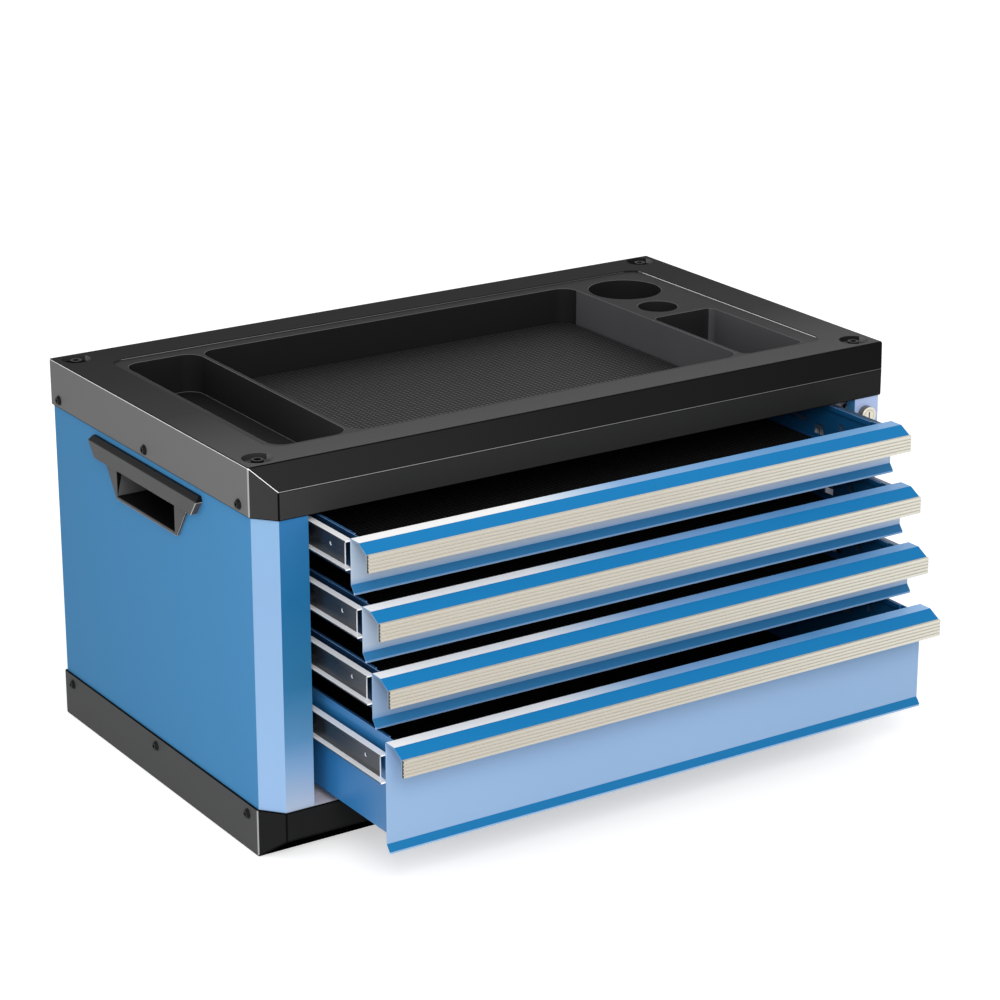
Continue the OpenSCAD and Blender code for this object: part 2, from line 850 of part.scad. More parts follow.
// Openings in both side walls that the slides hook into
module wall_openings(n) {
    z = top_of(n);
    for (cut_box = [
        [peg_y, peg_drop, peg_size, peg_size],
        [hook_y, hook_drop, hook_d, hook_h],
        [hook_y + hook_d + slot_gap, hook_drop - slot_h / 2, slot_d, slot_h],
        [box_d - hook_back, hook_drop, hook_d, hook_h]
    ])
        translate([-box_x - cut, box_y + cut_box[0], z - cut_box[1] - cut_box[3]])
            cube([box_w + 2 * cut, cut_box[2], cut_box[3]]);
}

module drawer_box(n) {
    z = box_z(n);
    h = top_of(n) - z;
    inner_w = box_w - 2 * box_t;
    color([0.14, 0.33, 0.56])
        at_rest(n)
            translate([-box_x, box_y, 0])
                difference() {
                    translate([0, 0, z])
                        cube([box_w, box_d, h]);
                    // the inside below the rolled edge
                    translate([box_t, box_t, z + box_t])
                        cube([inner_w, box_d - 2 * box_t, h - hem_h - box_t]);
                    translate([hem_w, box_t, z + box_t])
                        cube([box_w - 2 * hem_w, box_d - box_t - hem_w, h]);
                    // the front wall ends under the front's flange
                    translate([box_t, -cut, z + h - hem_h])
                        cube([inner_w, hem_end + cut, hem_h + cut]);
                    translate([box_x, -box_y, 0])
                        wall_openings(n);
                }
}

module drawer_front(n) {
    h = front_h(n);
    path = [
        [-flare_d + front_t, -h],
        [-flare_d + front_t, -h + lip_h],
        [front_t, -h + lip_h + flare_h],
        [front_t, 0],
        [-flange_d, 0],
        [-pull_reach, -slope_h],
        [-pull_reach, -slope_h - leg_h]
    ];
    color([0.45, 0.6, 0.83])
        at_rest(n)
            translate([0, face_y, top_of(n)])
                along_x(front_w)
                    folded_sheet(path, front_t);
}

module drawer_pull(n) {
    pitch = leg_h / pull_ribs;
    color([0.85, 0.82, 0.75])
        at_rest(n)
            translate([0, face_y - pull_reach, top_of(n) - slope_h])
                along_x(front_w)
                    difference() {
                        translate([-pull_t, -leg_h])
                            square([pull_t, leg_h]);
                        for (i = [1:pull_ribs - 1])
                            translate([-pull_t - cut, -leg_h + i * pitch - groove_w / 2])
                                square([rib_depth + cut, groove_w]);
                    }
}

module drawer_mat(n) {
    side = box_t + mat_side;
    end = box_t + mat_end;
    color([0.06, 0.06, 0.07])
        at_rest(n)
            translate([-box_x + side, box_y + end, box_z(n) + box_t])
                cube([box_w - 2 * side, box_d - 2 * end, drawer_mat_t]);
}

module drawer_rails(n) {
    color([0.8, 0.82, 0.84])
        at_rest(n) {
            drawer_rail(n, boss_len);
            right_of_slide()
                drawer_rail(n, right_boss_len);
        }
}

module drawer_catch(n) {
    foot_t = 1.5;
    color([0.75, 0.77, 0.79])
        at_rest(n)
            translate([box_right_x, bar_y + 2 * lock_gap, catch_z(n)]) {
                cube([catch_reach, catch_t, catch_h]);
                cube([foot_t, catch_foot_d, catch_foot_h]);
            }
}

// ---- Tray and mats ----
// Every well as a solid, grown by g and reaching from z up
module wells(g, z) {
    h = well_depth + through;
    front = well_front_y - g;
    long_d = well_end_y - well_front_y + 2 * g;
    rounded_block(left_well_x - g, front, z, [left_well_w + 2 * g, long_d, h], well_r + g);
    rounded_block(centre_well_x - g, front, z, [centre_well_w + 2 * g, long_d, h], well_r + g);
    rounded_block(
        right_well_x - g, front, z,
        [right_well_w + 2 * g, right_well_d + 2 * g, h], well_r / 2 + g
    );
    translate([bottle_x, bottle_y, z])
        cylinder(r = bottle_well_r + g, h = h);
    translate([can_x, can_y, z])
        cylinder(r = can_well_r + g, h = h);
}

module tray() {
    color([0.22, 0.22, 0.23])
        difference() {
            union() {
                tray_block(0, ledge_z, tray_t);
                intersection() {
                    wells(tray_t, well_z - tray_t);
                    translate([-half_w, front_y, 0])
                        cube([cabinet_w, cabinet_d, tray_top_z]);
                }
            }
            wells(0, well_z);
        }
}

module tray_mat() {
    color([0.1, 0.1, 0.11])
        rounded_block(
            centre_well_x + mat_gap, well_front_y + mat_gap, well_z,
            [centre_well_w - 2 * mat_gap, well_end_y - well_front_y - 2 * mat_gap, tray_mat_t],
            well_r - mat_gap / 2
        );
}

// ---- Grips ----
module grip_plan(x0, t, points) {
    translate([x0, 0, 0])
        rotate([90, 0, 90])
            linear_extrude(height = t)
                polygon(points);
}

module grip() {
    top_half = grip_w / 2;
    low_half = top_half - grip_end_cut;
    corner = [2, 5];
    bar = [
        [side_mid_y - top_half, grip_top_z - corner[1]],
        [side_mid_y - top_half + corner[0], grip_top_z],
        [side_mid_y + top_half - corner[0], grip_top_z],
        [side_mid_y + top_half, grip_top_z - corner[1]],
        [side_mid_y + low_half, grip_bar_z],
        [side_mid_y - low_half, grip_bar_z]
    ];
    bar_side = [
        [-body_x, grip_bar_z],
        [-body_x, grip_top_z],
        [-body_x - grip_proud + grip_bevel, grip_top_z],
        [-body_x - grip_proud, grip_top_z - grip_bevel],
        [-body_x - grip_proud, grip_bar_z]
    ];
    frame_z = grip_bar_z - grip_frame_h;
    frame_top_half = grip_frame_w / 2;
    frame_low_half = pocket_half + 1;
    frame = [
        [side_mid_y - frame_low_half, frame_z],
        [side_mid_y + frame_low_half, frame_z],
        [side_mid_y + frame_top_half, grip_bar_z + eps],
        [side_mid_y - frame_top_half, grip_bar_z + eps]
    ];
    difference() {
        union() {
            intersection() {
                grip_plan(-body_x - grip_proud, grip_proud, bar);
                rotate([90, 0, 0])
                    translate([0, 0, -back_y])
                        linear_extrude(height = cabinet_d)
                            polygon(bar_side);
            }
            grip_plan(-body_x - frame_proud, frame_proud, frame);
            translate([-body_x - eps, side_mid_y - pocket_half, finger_z - grip_t])
                cube([pocket_d + grip_t + eps, 2 * pocket_half, pocket_top_z + 2 * grip_t - finger_z]);
        }
        translate([-body_x - through, side_mid_y - finger_w / 2, finger_z])
            cube([through + pocket_d, finger_w, finger_h]);
        translate([-body_x + grip_t, side_mid_y - finger_w / 2, finger_z])
            cube([pocket_d - grip_t, finger_w, pocket_top_z - finger_z]);
    }
}

module left_grip() {
    color([0.17, 0.17, 0.18])
        grip();
}

module right_grip() {
    color([0.17, 0.17, 0.18])
        mirror([1, 0, 0])
            grip();
}

// ---- Screws ----
module button_screw() {
    socket_r = 1.8;
    socket_d = 1.7;
    difference() {
        union() {
            rotate([0, 90, 0])
                cylinder(r = band_screw_r, h = band_screw_len);
            translate([-button_h, 0, 0])
                rotate([0, 90, 0])
                    cylinder(r1 = button_top_r, r2 = button_r, h = button_h);
        }
        translate([-button_h - cut, 0, 0])
            rotate([0, 90, 0])
                cylinder(r = socket_r, h = socket_d + cut, $fn = 6);
    }
}

module band_screws() {
    color([0.1, 0.1, 0.1])
        mirrored_pair()
            for (step = [-1, 0, 1], z = [cabinet_h - top_screw_drop, base_screw_h])
                translate([-half_w, side_mid_y + step * screw_spread, z])
                    button_screw();
}

module corner_screws() {
    z = cabinet_h - recess_d;
    socket_r = 3.4;
    socket_d = 2.5;
    color([0.1, 0.1, 0.1])
        at_corner_screws()
            difference() {
                union() {
                    translate([0, 0, z])
                        cylinder(r = cap_head_r, h = cap_head_h);
                    translate([0, 0, z - cap_screw_len])
                        cylinder(r = cap_screw_r, h = cap_screw_len + eps);
                }
                translate([0, 0, z + cap_head_h - socket_d])
                    cylinder(r = socket_r, h = socket_d + cut, $fn = 6);
            }
}

module rail_screws() {
    head_t = 1;
    head_r = 3.2;
    shank = 6;
    color([0.75, 0.75, 0.77])
        slide_pair()
            for (n = DRAWERS, sy = RAIL_SCREW_Y) {
                hole_x(-opening_x - shank, sy, slide_z(n), rail_screw_r, shank + rail_t + head_t);
                hole_x(-opening_x + rail_t, sy, slide_z(n), head_r, head_t);
            }
}

// ---- Lock ----
module lock_housing() {
    color([0.8, 0.79, 0.75])
        difference() {
            union() {
                hole_y(lock_x, lock_z, lock_face_r, face_y - lock_proud, lock_proud);
                hole_y(lock_x, lock_z, lock_barrel_r, face_y - eps, barrel_len + eps);
            }
            hole_y(lock_x, lock_z, plug_r + plug_clear, face_y - lock_proud - cut, barrel_len + through);
        }
}

module lock_nut() {
    nut_r = 10.5;
    nut_t = 4;
    color([0.7, 0.7, 0.72])
        difference() {
            translate([lock_x, face_y + sheet_t, lock_z])
                rotate([-90, 0, 0])
                    cylinder(r = nut_r, h = nut_t, $fn = 6);
            hole_y(lock_x, lock_z, lock_barrel_r + plug_clear, face_y, through);
        }
}

module lock_plug() {
    key_w = 1.3;
    key_h = 7;
    key_d = 12;
    y = face_y - lock_proud;
    color([0.82, 0.8, 0.74])
        difference() {
            hole_y(lock_x, lock_z, plug_r, y, cam_y - y);
            translate([lock_x - key_w / 2, y - cut, lock_z - key_h / 2])
                cube([key_w, key_d + cut, key_h]);
        }
}

module lock_cam() {
    pin_len = bar_y + bar_t - cam_y;
    disc_r = cam_arm + cam_pin_r + 1;
    color([0.7, 0.7, 0.72]) {
        hole_y(lock_x, lock_z, disc_r, cam_y, cam_t);
        hole_y(pin_x, pin_z, cam_pin_r, cam_y + eps, pin_len);
    }
}

module lock_bar() {
    bar_end = 5;
    low_z = catch_z(4) - lift - bar_end;
    top_z = lock_z + bar_end;
    slot_half = cam_pin_r + slot_slack;
    stud_slot_r = stud_r + slot_slack;
    stud_x = bar_x + bar_w / 2;
    color([0.72, 0.74, 0.76])
        difference() {
            translate([bar_x, bar_y, low_z])
                cube([bar_w, bar_t, top_z - low_z]);
            // slot for the cam's pin
            translate([lock_x - cam_arm - slot_half, bar_y - cut, pin_z - slot_half])
                cube([cam_arm - lift / 2 + 2 * slot_half, bar_t + 2 * cut, 2 * slot_half]);
            // slots for the guide studs
            for (z = STUD_Z) {
                translate([stud_x - stud_slot_r, bar_y - cut, z - lift])
                    cube([2 * stud_slot_r, bar_t + 2 * cut, lift]);
                for (end_z = [z - lift, z])
                    hole_y(stud_x, end_z, stud_slot_r, bar_y - cut, bar_t + 2 * cut);
            }
        }
}

module lock_fingers() {
    finger_x = box_right_x + catch_reach - catch_lap;
    color([0.72, 0.74, 0.76])
        for (n = DRAWERS)
            translate([finger_x, bar_y - bar_t, catch_z(n) - lift])
                cube([bar_x + finger_weld - finger_x, bar_t, catch_h]);
}

module lock_bar_studs() {
    head_r = 4.5;
    head_t = 1.6;
    color([0.75, 0.75, 0.77])
        for (z = STUD_Z) {
            hole_y(bar_x + bar_w / 2, z, stud_r, bar_y - lock_gap - head_t, bar_t + 2 * lock_gap + head_t + post_t);
            hole_y(bar_x + bar_w / 2, z, head_r, bar_y - lock_gap - head_t, head_t);
        }
}

base_frame();
floor_plate();
left_side_panel();
right_side_panel();
back_panel();
left_slide_posts();
right_slide_posts();
top_frame();
tray();
tray_mat();
left_grip();
right_grip();
band_screws();
corner_screws();
rail_screws();
cabinet_rails(1);  // cabinet_rails_1
cabinet_rails(2);  // cabinet_rails_2
cabinet_rails(3);  // cabinet_rails_3
cabinet_rails(4);  // cabinet_rails_4
lock_housing();
lock_nut();
lock_bar_studs();
lock_plug();
lock_cam();
lock_bar();
lock_fingers();
ball_cages(1);  // ball_cages_1
ball_cages(2);  // ball_cages_2
ball_cages(3);  // ball_cages_3
ball_cages(4);  // ball_cages_4
drawer_box(1);  // drawer_1_box
drawer_box(2);  // drawer_2_box
drawer_box(3);  // drawer_3_box
drawer_box(4);  // drawer_4_box
drawer_front(1);  // drawer_1_front
drawer_front(2);  // drawer_2_front
drawer_front(3);  // drawer_3_front
drawer_front(4);  // drawer_4_front
drawer_pull(1);  // drawer_1_pull
drawer_pull(2);  // drawer_2_pull
drawer_pull(3);  // drawer_3_pull
drawer_pull(4);  // drawer_4_pull
drawer_mat(1);  // drawer_1_mat
drawer_mat(2);  // drawer_2_mat
drawer_mat(3);  // drawer_3_mat
drawer_mat(4);  // drawer_4_mat
drawer_rails(1);  // drawer_1_rails
drawer_rails(2);  // drawer_2_rails
drawer_rails(3);  // drawer_3_rails
drawer_rails(4);  // drawer_4_rails
drawer_catch(1);  // drawer_1_catch
drawer_catch(2);  // drawer_2_catch
drawer_catch(3);  // drawer_3_catch
drawer_catch(4);  // drawer_4_catch
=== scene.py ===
import json
import math

import bmesh
import bpy
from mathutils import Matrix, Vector

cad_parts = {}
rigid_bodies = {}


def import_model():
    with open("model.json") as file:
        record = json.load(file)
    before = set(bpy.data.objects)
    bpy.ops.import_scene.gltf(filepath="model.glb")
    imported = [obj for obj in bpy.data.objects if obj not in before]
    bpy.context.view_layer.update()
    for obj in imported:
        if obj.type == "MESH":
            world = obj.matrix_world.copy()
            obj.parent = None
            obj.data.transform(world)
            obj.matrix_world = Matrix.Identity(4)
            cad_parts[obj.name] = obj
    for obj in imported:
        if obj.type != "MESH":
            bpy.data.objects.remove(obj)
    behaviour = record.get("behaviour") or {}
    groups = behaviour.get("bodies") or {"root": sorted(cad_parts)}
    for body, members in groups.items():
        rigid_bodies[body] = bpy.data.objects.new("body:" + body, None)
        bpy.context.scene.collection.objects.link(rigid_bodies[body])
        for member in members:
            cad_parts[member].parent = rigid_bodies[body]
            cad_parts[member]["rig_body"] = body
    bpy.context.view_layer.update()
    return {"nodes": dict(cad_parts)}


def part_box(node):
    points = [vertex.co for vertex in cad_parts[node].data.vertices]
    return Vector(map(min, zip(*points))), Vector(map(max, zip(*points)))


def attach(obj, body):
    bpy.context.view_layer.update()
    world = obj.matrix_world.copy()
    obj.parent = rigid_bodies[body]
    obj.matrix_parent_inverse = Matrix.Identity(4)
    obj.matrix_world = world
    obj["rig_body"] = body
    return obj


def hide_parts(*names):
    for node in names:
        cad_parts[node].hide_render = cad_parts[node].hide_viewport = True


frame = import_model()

NODES = frame["nodes"]
DRAWERS = (1, 2, 3, 4)
DEEP_DRAWER = 4
MM = 0.001

# Camera, fitted to the photograph: its place in metres, its angles in radians and its lens
CAMERA_PLACE = (-1.5017, -2.3343, 1.1838)
LOOKS_DOWN = 0.3367
STANDS_LEFT = 0.58
SENSOR_MM = 36
FOCAL_MM = 110.28

# Tolerances for a dressed copy of a CAD solid
SAME_POINT = 0.002 * MM
SAME_PLANE = math.radians(0.4)
SHARP = math.radians(28)  # an edge that turns by more is broken or rounded
SMOOTH = math.radians(35)  # faces that meet at less are shaded as one
LONG_EDGE_MM = 12  # shorter edges belong to screw recesses and cut-outs

# How much of a face's unit normal points along an axis
STRAIGHT = 0.9  # the face looks along the axis
SIDEWAYS = 0.85  # a face of the edge at the cut corner still goes with the side
MOSTLY = 0.8  # a face of another rounded edge still goes with that side
NEAREST = 0.7  # the face looks along this axis more than along the other two
HALF = 0.5  # the face is turned at least a third of the way to the axis
LEANING = 0.3  # it leans that way
TURNED = 0.2  # a face of a rounded edge has begun to turn that way

# Sockets of a Mix node that blends two colours
COLOUR_A, COLOUR_B, BLENDED = 6, 7, 2

# Where the finishes change, in millimetres
PANEL_SKIN = 0.5  # a grip's pocket begins this far behind the side panel's face
LIT_BEFORE = 20  # the right-hand walls of the tray's wells catch the light in front of this y
LOCK_FACE = 0.4  # the lock's face, in the plain nickel colour, lies within this depth of its front
GROOVE_FLOOR = 0.2  # a pull's grooves are deeper than this
HEM_LINE = 1.5  # the drawer box's rolled edge has a painted highlight this far down
LIP_TOP, FLARE_FOLD, FLARE_TOP = 1.5, 6.6, 8  # heights above a drawer front's lower edge


# ---- Camera and lamps ----
def place_camera():
    """The photograph is taken from 33 degrees to the left of the fronts and 19 degrees above."""
    lens = bpy.data.cameras.new("camera")
    lens.sensor_width = SENSOR_MM
    lens.lens = FOCAL_MM
    camera = bpy.data.objects.new("camera", lens)
    camera.location = CAMERA_PLACE
    camera.rotation_euler = (math.pi / 2 - LOOKS_DOWN, 0, -STANDS_LEFT)
    bpy.context.scene.collection.objects.link(camera)
    bpy.context.scene.camera = camera


def soft_box(name, place, aim, width, height, power):
    """A studio soft box that lights the tool box and isn't seen itself."""
    lamp = bpy.data.lights.new(name, "AREA")
    lamp.shape = "RECTANGLE"
    lamp.size = width
    lamp.size_y = height
    lamp.energy = power
    holder = bpy.data.objects.new(name, lamp)
    holder.visible_camera = False
    holder.location = place
    holder.rotation_euler = (Vector(aim) - Vector(place)).to_track_quat("-Z", "Y").to_euler()
    bpy.context.scene.collection.objects.link(holder)


# ---- Colours and shader nodes ----
def linear(code):
    """An sRGB hex value as linear red, green, blue and alpha."""
    parts = [int(code[i:i + 2], 16) / 255 for i in (1, 3, 5)]
    return tuple(c / 12.92 if c <= 0.04045 else ((c + 0.055) / 1.055) ** 2.4 for c in parts) + (1,)


def add_node(tree, kind, settings=(), links=()):
    """A shader node with its socket values or attributes set, and links to its inputs."""
    node = tree.nodes.new(kind)
    for name, value in dict(settings).items():
        if isinstance(name, int) or name in node.inputs:
            node.inputs[name].default_value = value
        else:
            setattr(node, name, value)
    for name, source in dict(links).items():
        tree.links.new(source, node.inputs[name])
    return node


def new_material(name, colour, roughness, metallic=0.0, **settings):
    """A Principled surface whose uniform values sit on its own sockets."""
    material = bpy.data.materials.new(name)
    material.use_nodes = True
    tree = material.node_tree
    shader = tree.nodes["Principled BSDF"]
    shader.inputs["Base Color"].default_value = linear(colour)
    shader.inputs["Roughness"].default_value = roughness
    shader.inputs["Metallic"].default_value = metallic
    for key, value in settings.items():
        shader.inputs[key.replace("_", " ")].default_value = value
    material.diffuse_color = linear(colour)
    return material, tree, shader


def object_pattern(tree, size_mm, stretch=(1, 1, 1)):
    """Object coordinates scaled so that one unit of a pattern is size_mm on the real piece."""
    coords = add_node(tree, "ShaderNodeTexCoord").outputs["Object"]
    scale = [s / (size_mm * MM) for s in stretch]
    return add_node(tree, "ShaderNodeMapping", {"Scale": scale}, {"Vector": coords}).outputs["Vector"]


def bump(tree, shader, height, depth_mm, strength):
    """Lets the surface rise and sink with a pattern."""
    relief = add_node(
        tree, "ShaderNodeBump", {"Strength": strength, "Distance": depth_mm * MM}, {"Height": height}
    )
    tree.links.new(relief.outputs["Normal"], shader.inputs["Normal"])


def vary_roughness(tree, shader, factor, low, high):
    """Lets the roughness follow a pattern between two values."""
    span = add_node(tree, "ShaderNodeMapRange", {"To Min": low, "To Max": high}, {"Value": factor})
    tree.links.new(span.outputs["Result"], shader.inputs["Roughness"])


def tint(tree, shader, factor, dark, light):
    """Lets the colour follow a pattern between two hex values."""
    blend = add_node(
        tree, "ShaderNodeMix", {"data_type": "RGBA", COLOUR_A: linear(dark), COLOUR_B: linear(light)},
        {0: factor}
    )
    tree.links.new(blend.outputs[BLENDED], shader.inputs["Base Color"])


def shade_run(tree, axis, stops):
    """A colour that runs through hex values which lie at places in millimetres along one axis."""
    first, last = stops[0][0], stops[-1][0]
    coords = add_node(tree, "ShaderNodeTexCoord").outputs["Object"]
    place = add_node(tree, "ShaderNodeSeparateXYZ", {}, {"Vector": coords}).outputs[axis]
    run = add_node(
        tree, "ShaderNodeMapRange", {"From Min": first * MM, "From Max": last * MM}, {"Value": place}
    ).outputs["Result"]
    ramp = add_node(tree, "ShaderNodeValToRGB", {}, {"Fac": run})
    marks = ramp.color_ramp.elements
    marks[0].color, marks[-1].color = linear(stops[0][1]), linear(stops[-1][1])
    for at, code in stops[1:-1]:
        marks.new((at - first) / (last - first)).color = linear(code)
    return ramp.outputs["Color"]


def shade(tree, shader, run, across=None):
    """Lets the colour follow one run, thinned by a second one that lies across it. The runs are painted
    light and shade: they stand for the soft reflections and falloff of a studio on a satin face."""
    colour = shade_run(tree, *run)
    if across:
        colour = add_node(
            tree, "ShaderNodeMix", {"data_type": "RGBA", "blend_type": "MULTIPLY", 0: 1},
            {COLOUR_A: colour, COLOUR_B: shade_run(tree, *across)}
        ).outputs[BLENDED]
    tree.links.new(colour, shader.inputs["Base Color"])


def cloud(tree, shader, size_mm, dark, light):
    """A faint cloud between two near colours, as no moulding or coat is quite even."""
    drift = add_node(
        tree, "ShaderNodeTexNoise", {"Scale": 1, "Detail": 2}, {"Vector": object_pattern(tree, size_mm)}
    ).outputs["Fac"]
    tint(tree, shader, drift, dark, light)


# ---- Materials ----
# The plain colour, light, varies towards dark, or a run along the piece takes the place of both.
def moulded_abs(name, light, dark=None, roughness=0.5, sheen=0.15, run=None):
    """Injection-moulded ABS: a fine eroded grain that breaks the gloss into a soft satin."""
    material, tree, shader = new_material(name, light, roughness, IOR=1.53, Specular_IOR_Level=sheen)
    if run:
        shade(tree, shader, run)
    else:
        cloud(tree, shader, 60, dark, light)
    # real grain is about 0.3 mm, drawn at 1.2 mm so that it shows
    grain = add_node(
        tree, "ShaderNodeTexNoise", {"Scale": 1, "Detail": 3}, {"Vector": object_pattern(tree, 1.2)}
    ).outputs["Fac"]
    vary_roughness(tree, shader, grain, roughness - 0.05, roughness + 0.07)
    bump(tree, shader, grain, depth_mm=0.05, strength=0.3)
    return material


def powder_coat(name, light, dark=None, roughness=0.45, gloss=0.2, run=None, across=None):
    """Baked powder coat on sheet steel: an even satin colour, with the slight orange peel of about
    1.5 mm that it dries with."""
    material, tree, shader = new_material(name, light, roughness, IOR=1.5, Specular_IOR_Level=gloss)
    if run:
        shade(tree, shader, run, across)
    else:
        cloud(tree, shader, 180, dark, light)
    peel = add_node(
        tree, "ShaderNodeTexNoise", {"Scale": 1, "Detail": 1}, {"Vector": object_pattern(tree, 1.5)}
    ).outputs["Fac"]
    vary_roughness(tree, shader, peel, roughness - 0.04, roughness + 0.05)
    bump(tree, shader, peel, depth_mm=0.02, strength=0.2)
    return material


def galvanised_sheet(name, light, dark):
    """Hot-dipped galvanised sheet: faint spangles of about 7 mm in a dull silver."""
    material, tree, shader = new_material(name, light, 0.45, metallic=0.15)
    spangle = add_node(
        tree, "ShaderNodeTexVoronoi", {"Scale": 1}, {"Vector": object_pattern(tree, 7)}
    ).outputs["Color"]
    grey = add_node(tree, "ShaderNodeRGBToBW", {}, {"Color": spangle}).outputs["Val"]
    tint(tree, shader, grey, dark, light)
    vary_roughness(tree, shader, grey, 0.36, 0.52)
    return material


def zinc_plate(name, light, dark, roughness=0.28, metallic=1.0):
    """Bright zinc plate on rolled steel: fine draw lines along the rail under a clear shine."""
    material, tree, shader = new_material(name, light, roughness, metallic=metallic)
    # real draw lines are about 0.2 mm apart, drawn at 1 mm so that they show
    lines = add_node(
        tree, "ShaderNodeTexNoise", {"Scale": 1, "Detail": 2},
        {"Vector": object_pattern(tree, 1.0, stretch=(1, 0.02, 1))}
    ).outputs["Fac"]
    tint(tree, shader, lines, dark, light)
    vary_roughness(tree, shader, lines, roughness - 0.05, roughness + 0.08)
    return material


def anodised_strip(name, light, dark=None, run=None):
    """Champagne anodised aluminium extrusion: die lines along the strip and a silky sheen."""
    roughness = 0.42
    material, tree, shader = new_material(name, light, roughness, metallic=0.2, Specular_IOR_Level=0.2)
    # real die lines are about 0.1 mm apart, drawn at 0.8 mm so that they show
    lines = add_node(
        tree, "ShaderNodeTexNoise", {"Scale": 1, "Detail": 3},
        {"Vector": object_pattern(tree, 0.8, stretch=(0.006, 1, 1))}
    ).outputs["Fac"]
    if run:
        shade(tree, shader, run)
    else:
        tint(tree, shader, lines, dark, light)
    vary_roughness(tree, shader, lines, roughness - 0.06, roughness + 0.08)
    return material


def satin_nickel(name, light, dark):
    """Satin nickel plate on the turned lock: soft, slightly warm, with a faint cloud in the polish."""
    material, tree, shader = new_material(name, light, 0.3, metallic=0.55)
    polish = add_node(
        tree, "ShaderNodeTexNoise", {"Scale": 1, "Detail": 3}, {"Vector": object_pattern(tree, 2.5)}
    ).outputs["Fac"]
    tint(tree, shader, polish, dark, light)
    return material


def dimpled_rubber(name, ground, dimple):
    """Foamed anti-slip rubber: a dull black sheet pressed with a grid of round dimples every 5 mm."""
    material, tree, shader = new_material(name, ground, 0.7, IOR=1.5, Specular_IOR_Level=0.25)
    from_dimple = add_node(
        tree, "ShaderNodeTexVoronoi", {"Scale": 1, "Randomness": 0},
        {"Vector": object_pattern(tree, 5, stretch=(1, 1, 0))}
    ).outputs["Distance"]
    spot = add_node(
        tree, "ShaderNodeMapRange", {"From Min": 0.2, "From Max": 0.42, "To Min": 1, "To Max": 0},
        {"Value": from_dimple}
    ).outputs["Result"]
    tint(tree, shader, spot, ground, dimple)
    vary_roughness(tree, shader, spot, 0.75, 0.45)
    bump(tree, shader, spot, depth_mm=0.6, strength=0.8)
    return material


def black_oxide(name, light, dark):
    """Black-oxide steel screws: near black with a thin oily shine that comes and goes."""
    material, tree, shader = new_material(name, light, 0.42, IOR=1.5, Specular_IOR_Level=0.12)
    oil = add_node(
        tree, "ShaderNodeTexNoise", {"Scale": 1, "Detail": 2}, {"Vector": object_pattern(tree, 2)}
    ).outputs["Fac"]
    tint(tree, shader, oil, dark, light)
    vary_roughness(tree, shader, oil, 0.36, 0.5)
    return material


# ---- Pieces ----
def select_only(piece):
    bpy.ops.object.select_all(action="DESELECT")
    piece.select_set(True)
    bpy.context.view_layer.objects.active = piece


def break_edges(piece, width_mm, segments, edge_material):
    """Breaks every sharp edge by the radius that a moulding or a fold has."""
    select_only(piece)
    broken = piece.modifiers.new("edges", "BEVEL")
    broken.width = width_mm * MM
    broken.segments = segments
    broken.limit_method = "ANGLE"
    broken.angle_limit = SHARP
    broken.use_clamp_overlap = True
    broken.material = edge_material
    bpy.ops.object.modifier_apply(modifier=broken.name)
    bpy.ops.object.shade_smooth_by_angle(angle=SMOOTH)
    flat = piece.modifiers.new("flat_faces", "WEIGHTED_NORMAL")
    flat.keep_sharp = True
    bpy.ops.object.modifier_apply(modifier=flat.name)


def round_long_edges(piece, width_mm, edge_material):
    """Rounds a moulding's long outer edges by a radius that shows as a line, and leaves its holes alone."""
    select_only(piece)
    shape = bmesh.new()
    shape.from_mesh(piece.data)
    outer = [edge.is_convex for edge in shape.edges]
    shape.free()
    bpy.ops.object.mode_set(mode="EDIT")
    bpy.ops.mesh.select_mode(type="EDGE")
    bpy.ops.mesh.select_all(action="DESELECT")
    bpy.ops.mesh.edges_select_sharp(sharpness=SHARP)
    bpy.ops.object.mode_set(mode="OBJECT")
    mesh = piece.data
    weights = mesh.attributes.new("bevel_weight_edge", "FLOAT", "EDGE").data
    for edge in mesh.edges:
        start, end = (mesh.vertices[i].co for i in edge.vertices)
        is_long = (end - start).length > LONG_EDGE_MM * MM
        weights[edge.index].value = float(edge.select and outer[edge.index] and is_long)
    rounded = piece.modifiers.new("long_edges", "BEVEL")
    rounded.width = width_mm * MM
    rounded.segments = 3
    rounded.limit_method = "WEIGHT"
    rounded.use_clamp_overlap = False
    rounded.material = edge_material
    bpy.ops.object.modifier_apply(modifier=rounded.name)


def dressed(
    node, materials, edge_mm=0, choose=None, edges=(), choose_edge=None, segments=2, long_mm=0, ringed=False
):
    """A copy of a CAD solid with merged faces, broken edges and its finish, which stands for the node.
    The choosers give a face's place in the list of materials, in which those of the edges come last. A
    face that rings an opening is split, so that breaking its edges can't draw it across."""
    piece = bpy.data.objects.new(node + "_finish", NODES[node].data.copy())
    bpy.context.scene.collection.objects.link(piece)
    select_only(piece)
    piece.data.materials.clear()
    for material in [*materials, *edges]:
        piece.data.materials.append(material)
    bpy.ops.object.mode_set(mode="EDIT")
    bpy.ops.mesh.select_all(action="SELECT")
    bpy.ops.mesh.remove_doubles(threshold=SAME_POINT)
    bpy.ops.mesh.dissolve_limited(angle_limit=SAME_PLANE)
    if ringed:
        bpy.ops.mesh.vert_connect_concave()
    bpy.ops.object.mode_set(mode="OBJECT")
    for face in piece.data.polygons:
        face.material_index = choose(face.normal, face.center) if choose else 0
    first_edge = len(materials)
    if long_mm:
        round_long_edges(piece, long_mm, first_edge)
    if edge_mm:
        break_edges(piece, edge_mm, segments, first_edge if edges else -1)
    if choose_edge:
        for face in piece.data.polygons:
            if face.material_index == first_edge:
                face.material_index = choose_edge(face.normal, face.center)
    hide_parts(node)
    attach(piece, NODES[node]["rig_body"])


place_camera()
